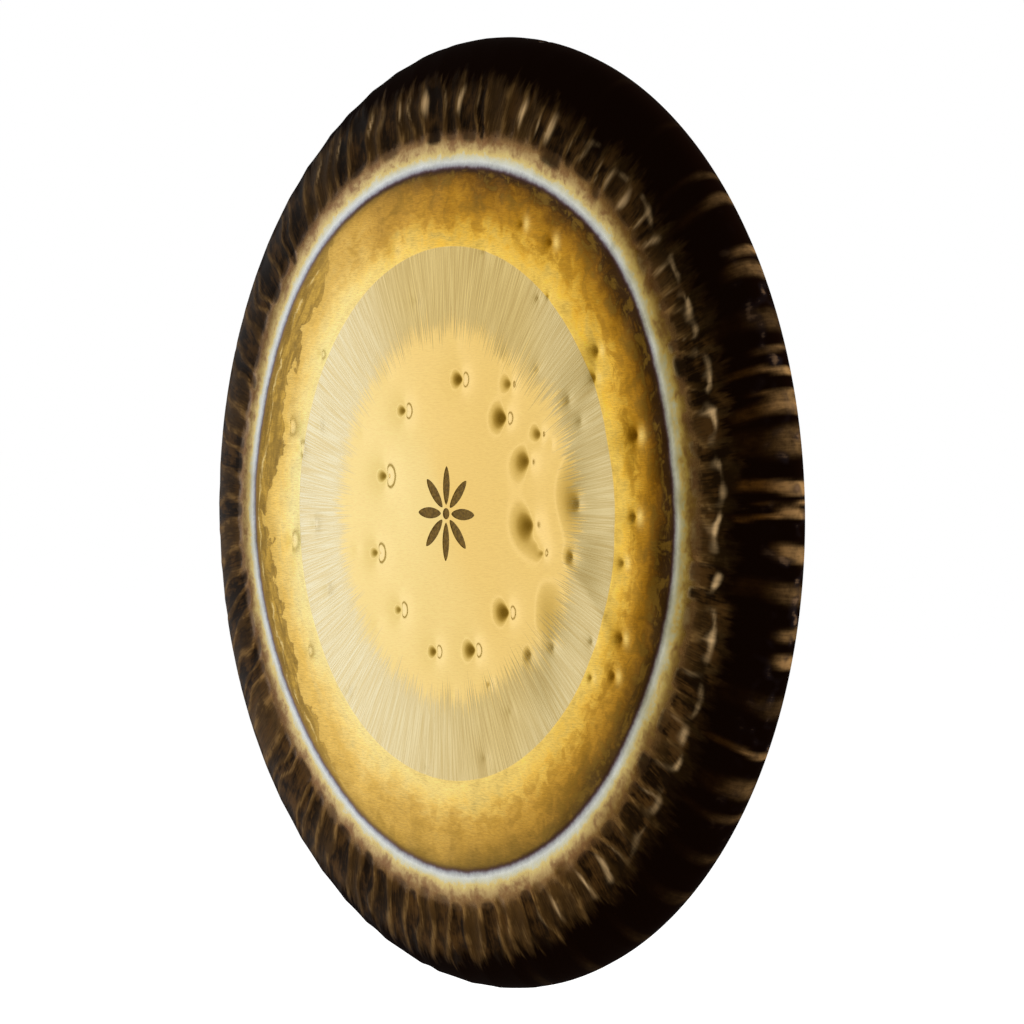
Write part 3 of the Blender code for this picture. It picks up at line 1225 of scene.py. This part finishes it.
# %% Places, patterns and colours
class Bench:
    """A material's node tree, with a short word for each thing that a finish needs."""

    def __init__(self, material):
        self.tree = material.node_tree
        self.shader = self.tree.nodes["Principled BSDF"]
        self.place = add_node(self.tree, "TexCoord").outputs["Object"]
        axes = add_node(self.tree, "SeparateXYZ", {0: self.place})
        self.x, self.y, self.z = (Amount(self.tree, socket) for socket in axes.outputs)
        turn = self.x.math("ARCTAN2", self.z)
        self.around = turn.math("SINE"), turn.math("COSINE")

    def kept(self, name):
        """A value that was kept on the mesh."""
        node = add_node(self.tree, "Attribute", attribute_name=name)
        return Amount(self.tree, node.outputs["Fac"])

    def sideways(self, start, end):
        """From 0 at one place across the gong to 1 at another, as shares of its radius."""
        return (self.x / RADIUS).step(start, end)

    def at(self, across, along, third=0.0):
        """A place made from three numbers."""
        return add_node(self.tree, "CombineXYZ", {0: across, 1: along, 2: third}).outputs[0]

    def noise(self, place, size, detail=2.0, roughness=0.5, distortion=0.0):
        """Cloudy noise about 0.5, with clouds of a size."""
        inputs = {"Vector": place, "Scale": 1 / size, "Detail": detail}
        inputs |= {"Roughness": roughness, "Distortion": distortion}
        return Amount(self.tree, add_node(self.tree, "TexNoise", inputs).outputs["Fac"])

    def mix(self, share, first, second):
        """From the first colour to the second as the share goes from 0 to 1."""
        node = add_node(self.tree, "Mix", {0: share, 6: first, 7: second}, data_type="RGBA")
        return node.outputs[2]

    def coats(self, colour, *coats):
        """One coat over the other: each is how much of it lies at a place, and its colour."""
        for share, coat in coats:
            colour = self.mix(share, colour, coat)
        return colour

    def scaled(self, colour, amount):
        """A colour made brighter or darker."""
        inputs = {0: colour, "Scale": amount}
        return add_node(self.tree, "VectorMath", inputs, operation="SCALE").outputs[0]

    def ramp(self, amount, stops):
        """A colour for each amount, from stops given as the amount, red, green and blue."""
        low, high = stops[0][0], stops[-1][0]
        shares = [((value - low) / (high - low), paint(*colour)) for value, *colour in stops]
        return colour_ramp(self.tree, (amount - low) / (high - low), shares)

    def bump(self, height, distance):
        """Fine relief: where the height is 1 the surface stands up by the distance."""
        inputs = {"Strength": 1.0, "Distance": distance, "Height": height}
        feed(self.tree, self.shader, {"Normal": add_node(self.tree, "Bump", inputs).outputs[0]})

    def surface(self, colour, roughness, metallic, gloss):
        """The shader's colour, roughness and metal, and the gloss of what isn't metal."""
        inputs = {"Base Color": colour, "Roughness": roughness, "Metallic": metallic}
        feed(self.tree, self.shader, inputs | {"Specular IOR Level": gloss})


print("the bench is ready")

# %% [markdown]
# ## The bronze
#
# One finish covers the whole sheet, because its zones run into each other. From the middle
# outward it is: satin gold, brushed lightly from side to side; the sunburst, scratched silvery
# by hundreds of strokes from the middle; gold again, stained amber and olive towards the fire;
# the heat ring in violet, white and straw; and brown-black oxide on the fluted rim. The back is
# left unpolished, so it is brown scale, and the fire's ring shows through it. Each zone is a
# function that makes its own colour, and the last cell lays each one over the one before.
# Painted shade darkens the gold on the right and at the top, and painted highlights lie by the cups
# and on the knuckle.

# %% Satin gold
GOLD = paint(255, 226, 152)
# The stained gold also stands for painted shade on the right and at the top.
GOLD_STAIN_AND_SHADE = paint(252, 214, 130)
BRUSHED_LONG = 7.0
GRAIN = 0.8 * MM
GOLD_CLOUD = 90 * MM


def satin_gold(bench, stain_and_shade):
    """The gold of the middle, with a fine grain along +X."""
    brushed = bench.at(bench.x / BRUSHED_LONG, bench.y, bench.z)
    grain = bench.noise(brushed, GRAIN, 3.0, 0.65)
    clouds = bench.noise(bench.place, GOLD_CLOUD)
    # Stain and painted shade: the gold turns to its darker colour where the mask is high, at the
    # top and on the right.
    colour = bench.mix((stain_and_shade * 0.8 + 0.5 * (clouds - 0.5)).step(-0.1, 1.0), GOLD, GOLD_STAIN_AND_SHADE)
    return bench.scaled(colour, 0.85 + 0.31 * grain), grain


# %% The brushed sunburst
BURST_START = 136 * MM
BURST_START_SCATTER = 70 * MM
BURST_LATER = 15 * MM
BURST_FADE = 6 * MM
BURST_END = 199 * MM
BURST_EDGE = 0.4 * MM
RAY = 0.009
HAIR = 0.0036
RAY_LIGHT = paint(254, 244, 208)
RAY_SHADE = paint(240, 218, 162)
# The stained colours also stand for painted shade on the right and at the top.
RAY_LIGHT_STAIN_AND_SHADE = paint(236, 210, 142)
RAY_SHADE_STAIN_AND_SHADE = paint(206, 178, 112)


def sunburst(bench, way, stain_and_shade):
    """How much of the sunburst lies at a place, its fine rays, and its colour."""
    rays = bench.noise(bench.at(*bench.around, way * 0.16), RAY, 1.0)
    hairs = bench.noise(bench.at(*bench.around, way * 0.1), HAIR, 0.0)
    ends = 0.4 * rays + 0.6 * hairs - 0.5
    later = BURST_LATER * bench.sideways(0.2, 0.42)
    inner = (way - later - BURST_START_SCATTER * ends - BURST_START).step(0.0, BURST_FADE)
    outer = (way + 0.9 * MM * (hairs - 0.5)).step(BURST_END - BURST_EDGE, BURST_END + BURST_EDGE)
    relief = 0.15 * rays.step(0.35, 0.65) + 0.85 * hairs.step(0.27, 0.73)
    # Painted light: on the right of the face the stain and its painted shade are halved, so the
    # sunburst is lighter there.
    stain_and_shade_lit_right = (stain_and_shade * (1.0 - 0.5 * bench.sideways(0.15, 0.4))).step(0.0, 0.9)
    light = bench.mix(stain_and_shade_lit_right, RAY_LIGHT, RAY_LIGHT_STAIN_AND_SHADE)
    shade = bench.mix(stain_and_shade_lit_right, RAY_SHADE, RAY_SHADE_STAIN_AND_SHADE)
    return inner * (1.0 - outer), relief, bench.mix(relief, shade, light)


# %% Gold stained by the heat, with painted shade and painted highlights
# Each row: the way in mm, as if the ring lay at 265, and the red, green and blue there.
RING_AT = 265.0
LIGHT_STAIN = [
    (200, 255, 234, 160), (216, 252, 220, 134), (228, 242, 202, 106), (240, 226, 184, 86),
    (254, 188, 150, 60), (264, 128, 98, 50),
]
# The deep stain also stands for painted shade on the right and at the top.
DEEP_STAIN_AND_SHADE = [
    (200, 248, 206, 96), (212, 240, 190, 70), (222, 204, 150, 38), (232, 178, 126, 26),
    (242, 126, 84, 10), (252, 66, 40, 2), (264, 54, 34, 16),
]
STAIN_CLOUD = 42 * MM
MOTTLE = 14 * MM
RAGGED = 6 * MM
STREAK = 30 * MM
OLIVE = paint(196, 156, 62)
OLIVE_DARK = paint(142, 108, 32)
FOLD_HIGHLIGHT = paint(236, 208, 140)
# Painted highlight: the light gold just right of each outer cup.
CUP_HIGHLIGHT_GOLD = paint(252, 214, 116)
STAIN_OLIVE = paint(146, 112, 34)
TIDE_BROWN = paint(112, 84, 24)


def olive_band(bench, past, low, mottles, streaks):
    """The coats of the olive-stained patch on the left: the olive, its tide line and a painted fold
    highlight.
    """
    left = bench.sideways(-0.28, -0.58)
    ragged = bench.noise(bench.place, RAGGED, 3.0, 0.6, 1.0)
    clouds = 84.0 * (low - 0.5) + 22.0 * (mottles - 0.5) + 8.0 * (ragged - 0.5)
    reach = past + 4.0 + 20.0 * left + clouds
    swirls = (low * 60.0 + mottles * 12.0).math("SINE").bell(1.0, 0.35)
    olive = bench.coats(
        OLIVE_DARK,
        ((streaks + 0.5 * (mottles - 0.5)).step(0.36, 0.64), OLIVE),
        (swirls * 0.35, TIDE_BROWN),
        (past.step(-18.0, -6.0) * 0.5, TIDE_BROWN),
    )
    # Painted highlight: a thin light line along a fold of the face, on the left.
    fold = past + 11.0 + 26.0 * (low - 0.5) + 6.0 * (ragged - 0.5)
    painted_fold_highlight = fold.bell(0.0, 1.0) * 0.7 * left * streaks.step(0.42, 0.55)
    return (
        (reach.step(-0.8, 1.6) * 0.85 * left, olive),
        (reach.bell(0.0, 1.0) * 0.55 * left, TIDE_BROWN),
        (painted_fold_highlight, FOLD_HIGHLIGHT),
    )


def stained_gold(bench, past_ring, stain_and_shade, grain):
    """The outer gold, darker towards the fire, with painted shade and highlights, clouds and tide
    lines.
    """
    past = past_ring / MM
    low = bench.noise(bench.place, STAIN_CLOUD)
    mottles = bench.noise(bench.place, MOTTLE, 3.0, 0.6, 0.8)
    ringwise = bench.at(*(side * 0.26 for side in bench.around), past_ring * 5.0)
    streaks = bench.noise(ringwise, STREAK, 3.0, 0.6, 0.5)
    drift = 40.0 * (mottles - 0.5) * (0.3 + 0.7 * stain_and_shade)
    drift = 26.0 * (low - 0.5) + drift + 22.0 * (streaks - 0.5)
    heat = bench.kept("fire") * (0.1 + 0.9 * past.step(-38.0, -18.0))
    along = past + RING_AT + (heat + drift) * (1.0 - past.step(-12.0, -3.0))
    blotches = (mottles + 0.6 * (streaks - 0.5)).step(0.47, 0.62) * past.step(-62.0, -46.0)
    colour = bench.coats(
        bench.ramp(along, LIGHT_STAIN),
        (stain_and_shade, bench.ramp(along, DEEP_STAIN_AND_SHADE)),
        *olive_band(bench, past, low, mottles, streaks),
        (blotches * 0.4 * stain_and_shade, STAIN_OLIVE),
        # painted highlight just right of each outer cup, where the stain and its painted shade are
        # deep
        (bench.kept("cup_highlight") * 0.75 * stain_and_shade, CUP_HIGHLIGHT_GOLD),
    )
    tone = 0.55 + 0.9 * grain + 0.9 * (mottles - 0.5) * stain_and_shade + 0.5 * (streaks - 0.5)
    return bench.scaled(colour, tone)


# %% The heat ring
# Each row: how far past the ring's middle in mm, and the red, green and blue there.
RING_COLOURS = [
    (-7.0, 74, 50, 46), (-4.6, 108, 92, 104), (-2.5, 176, 178, 186), (0.0, 220, 223, 222),
    (2.6, 216, 214, 192), (5.5, 222, 198, 130), (10.0, 194, 165, 112), (16.0, 140, 106, 64),
    (23.0, 96, 68, 36),
]
FEATHER = 3.5 * MM
RING_DRIFT = 15 * MM
RING_EDGE = paint(150, 118, 62)
RING_EDGE_DEEP = paint(58, 34, 24)
SCORCHED = paint(132, 92, 60)


def heat_ring(bench, past_ring, stain_and_shade):
    """The ring's colours, laid out by the distance from its middle, with feathered edges."""
    feather = bench.noise(bench.place, FEATHER, 3.0, 0.65)
    drift = bench.noise(bench.place, RING_DRIFT, 3.0, 0.6, 0.5)
    wander = 3.5 * (feather - 0.5) + 5.0 * (drift - 0.5)
    past = past_ring / MM
    across = past + wander * (0.45 + past.step(0.0, 8.0) * 2.2)
    wider = 4.0 * bench.sideways(0.55, 0.78) * past.step(3.0, 10.0)
    patchy = across.step(5.0, 12.0) * (drift + 0.25 * (feather - 0.5)).step(0.42, 0.68)
    colour = bench.coats(
        bench.ramp(across - wider, RING_COLOURS),
        (across.step(-3.5, -6.5), bench.mix(stain_and_shade.step(0.0, 0.8), RING_EDGE, RING_EDGE_DEEP)),
        (patchy * 0.6, SCORCHED),
    )
    tone = 0.84 + 0.32 * feather - 0.2 * stain_and_shade * across.bell(0.0, 5.0) * drift.step(0.35, 0.8)
    return across.step(-9.0, -5.0), bench.scaled(colour, tone), across


# %% The fluted rim
FINGER_DARK = paint(22, 12, 4)
FINGER_BROWN = paint(74, 50, 22)
CREST_BROWN = paint(86, 60, 28)
CREST_TAN = paint(160, 122, 70)
# The tan of wear and of painted highlights on the knuckle and in the flutes.
WEAR_HIGHLIGHT_TAN = paint(226, 188, 134)
STREAK_FINE = 0.017
THREAD_FINE = 0.005
PATCH = 22 * MM


def fluted_shoulder(bench, past_ring, streak, thread, patch):
    """Brown-black oxide on the shoulder, dark in the flutes and tan on their crests, with painted
    sheen below.
    """
    shine = (streak * 0.6 + thread * 0.3 + 0.9 * (patch - 0.5)).step(0.34, 0.66)
    farther = past_ring.step(14 * MM, 40 * MM)
    fading = farther * (0.5 + 0.35 * bench.sideways(0.3, 0.8))
    crest = bench.mix(shine, CREST_BROWN, CREST_TAN)
    crest = bench.scaled(crest, (1.0 - fading) * (0.6 + 0.8 * patch))
    finger = bench.mix(shine * 0.85, FINGER_DARK, FINGER_BROWN)
    flute = (bench.kept("flute") + 0.8 * (streak - 0.5) + 1.1 * (patch - 0.5)).step(0.03, 0.5)
    # Painted sheen: the shoulder is painted lighter towards the bottom of the gong and darker
    # towards the top.
    low = (bench.z / RADIUS * -1.0).step(-0.9, 0.7)
    return bench.scaled(bench.mix(flute, crest, finger), 0.78 + 0.62 * low)


# %% The wall behind it
OXIDE_BLACK = paint(14, 5, 2)
THIN_OXIDE = paint(92, 58, 20)
THIN_OXIDE_LIP = paint(158, 120, 74)
# Painted sheen and glints by the lip: blue-grey and pink.
LIP_SHEEN_SPOT = paint(34, 28, 30)
LIP_PINK_GLINT = paint(128, 98, 70)
SPOT = 12 * MM
GRAINY = 8 * MM


def oxide_wall(bench, way, thread):
    """Black oxide, thin in the bands, with a painted blue-grey sheen and pink glints by the lip on
    the right.
    """
    spots = bench.noise(bench.place, SPOT, 1.0, 0.4)
    near_lip = way.step(340 * MM, 372 * MM)
    grainy = 0.35 * thread + 0.65 * bench.noise(bench.place, GRAINY, 3.0, 0.6)
    band = bench.kept("band") * (2.2 * grainy - 0.15) * (0.5 + 0.9 * near_lip)
    # Painted sheen and glints: blue-grey spots and pink glints, laid only on the right side by the
    # lip.
    beside = bench.sideways(0.75, 0.98) * near_lip
    pink = (spots + 0.5 * (grainy - 0.5)).step(0.64, 0.78)
    return bench.coats(
        OXIDE_BLACK,
        (band.step(0.0, 0.95), bench.mix(near_lip, THIN_OXIDE, THIN_OXIDE_LIP)),
        (beside * spots.step(0.5, 0.75) * 0.8, LIP_SHEEN_SPOT),
        (beside * pink * 0.7, LIP_PINK_GLINT),
    )


def fluted_rim(bench, way, past_ring):
    """The shoulder and the wall with their wear and painted highlights, the fine streaks, and where
    the wall is.
    """
    streak = bench.noise(bench.at(*bench.around, way * 0.7), STREAK_FINE, 3.0, 0.6, 0.4)
    thread = bench.noise(bench.at(*bench.around, way * 0.3), THREAD_FINE, 2.0, 0.6)
    patch = bench.noise(bench.place, PATCH, 3.0, 0.6)
    edge = 0.01 * (thread - 0.5) + 0.04 * (streak - 0.5)
    later = 8 * MM * bench.sideways(0.2, 0.8)
    on_wall = (bench.kept("past_knuckle") + edge - later).step(-11 * MM, 8 * MM)
    wear_and_highlight = (bench.kept("wear_and_highlight") * (0.4 + 1.2 * streak)).step(0.06, 0.95)
    colour = bench.coats(
        fluted_shoulder(bench, past_ring, streak, thread, patch),
        (on_wall, oxide_wall(bench, way, thread)),
        (wear_and_highlight, WEAR_HIGHLIGHT_TAN),
    )
    return colour, streak, on_wall


# %% The back
BACK_BROWN = paint(106, 76, 46)
BACK_DARK = paint(60, 41, 29)
BACK_BLUE = paint(78, 70, 76)
BACK_STRAW = paint(134, 104, 64)
BACK_CLOUD = 48 * MM
SPECKLE = 5 * MM
LATHE_LINE = 3 * MM
DIMPLE = 17 * MM


def hammered_back(bench, way, across):
    """The unpolished back: brown scale with darker clouds, and the fire's ring shown through."""
    clouds = bench.noise(bench.place, BACK_CLOUD, 4.0, 0.6, 0.3)
    speckle = bench.noise(bench.place, SPECKLE, 3.0, 0.6)
    rings = bench.noise(bench.at(0.0, 0.0, way), LATHE_LINE, 2.0, 0.6)
    share = clouds + 0.3 * (speckle - 0.5) + 0.5 * (rings - 0.5)
    colour = bench.coats(
        BACK_DARK,
        (share.step(0.2, 0.8), BACK_BROWN),
        (across.bell(-6.0, 9.0) * (0.2 + 0.5 * clouds), BACK_BLUE),
        (across.bell(6.0, 7.0) * 0.45, BACK_STRAW),
    )
    dimples = bench.noise(bench.place, DIMPLE, 1.0, 0.4)
    return bench.scaled(colour, 0.8 + 0.4 * dimples), dimples


# %% All the zones together
ZONE_EDGE = 0.5 * MM
RELIEF = 0.1 * MM


def finish_bronze(material):
    bench = Bench(material)
    way, past_ring, stain_and_shade = bench.kept("way"), bench.kept("past_ring"), bench.kept("stain_and_shade")
    gold, grain = satin_gold(bench, stain_and_shade)
    stained = stained_gold(bench, past_ring, stain_and_shade, grain)
    burst, rays, burst_colour = sunburst(bench, way, stain_and_shade)
    ring, ring_colour, across = heat_ring(bench, past_ring, stain_and_shade)
    rim_colour, streak, on_wall = fluted_rim(bench, way, past_ring)
    rim = bench.kept("flute").math("MAXIMUM", across.step(15.0, 26.0))
    back = bench.kept("back_skin")
    back_colour, dimples = hammered_back(bench, way, across)
    colour = bench.coats(
        gold,
        (way.step(BURST_END - ZONE_EDGE, BURST_END + ZONE_EDGE), stained),
        (burst, burst_colour),
        (ring, ring_colour),
        (rim, rim_colour),
        (back, back_colour),
    )
    outside = way.step(BURST_END, BURST_END + 2 * MM)
    roughness = 0.07 + 0.03 * grain + 0.16 * burst + 0.08 * outside + 0.2 * rim + 0.25 * back
    metal = (1.0 - rim * (0.85 + 0.13 * on_wall)) * (1.0 - 0.85 * back)
    bench.surface(colour, roughness, metal, 0.0)
    height = burst * rays * 0.25 + (1.0 - burst) * grain * 0.06 + rim * streak * 1.2
    bench.bump(height * (1.0 - back) + back * dimples * 9.0, RELIEF)
    print(len(bench.tree.nodes), "nodes in the bronze")


finish_bronze(bronze)

# %% [markdown]
# ## The engraving's brown
#
# The cut of the rosette is filled with a dull brown lacquer that lies a little unevenly.

# %% Brown lacquer
LACQUER = paint(136, 104, 34)
LACQUER_DARK = paint(102, 76, 20)


def finish_engraving(material):
    bench = Bench(material)
    clouds = bench.noise(bench.place, 2.5 * MM, 3.0, 0.6)
    brown = bench.mix(clouds.step(0.35, 0.65), LACQUER, LACQUER_DARK)
    bench.surface(brown, 0.45 + 0.2 * clouds, 0.0, 0.2)
    bench.bump(bench.noise(bench.place, 0.8 * MM), 0.05 * MM)


finish_engraving(enamel)

# %% [markdown]
# ## Rubber grommets
#
# The grommets are moulded from black rubber: dull, with a faint bloom and a fine skin. They are
# CAD nodes, so only their material changes.

# %% Black rubber
RUBBER = paint(30, 29, 28)
RUBBER_BLOOM = paint(52, 50, 47)


def finish_rubber(material):
    bench = Bench(material)
    bloom = bench.noise(bench.place, 4 * MM, 3.0, 0.6)
    black = bench.mix(bloom.step(0.45, 0.75), RUBBER, RUBBER_BLOOM)
    bench.surface(black, 0.55 + 0.25 * bloom, 0.0, 0.5)
    bench.bump(bench.noise(bench.place, 0.5 * MM), 0.04 * MM)


rubber, _ = new_material("black_rubber_finish")
finish_rubber(rubber)
for side in ("left", "right"):
    grommet = bpy.data.objects[f"cord_grommet_{side}"]
    grommet.data.materials.clear()
    grommet.data.materials.append(rubber)
print("both grommets are rubber")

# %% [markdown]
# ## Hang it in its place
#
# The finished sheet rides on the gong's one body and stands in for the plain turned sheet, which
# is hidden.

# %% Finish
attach(gong, "root")
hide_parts("gong_plate")
bpy.context.scene.view_settings.view_transform = "Standard"
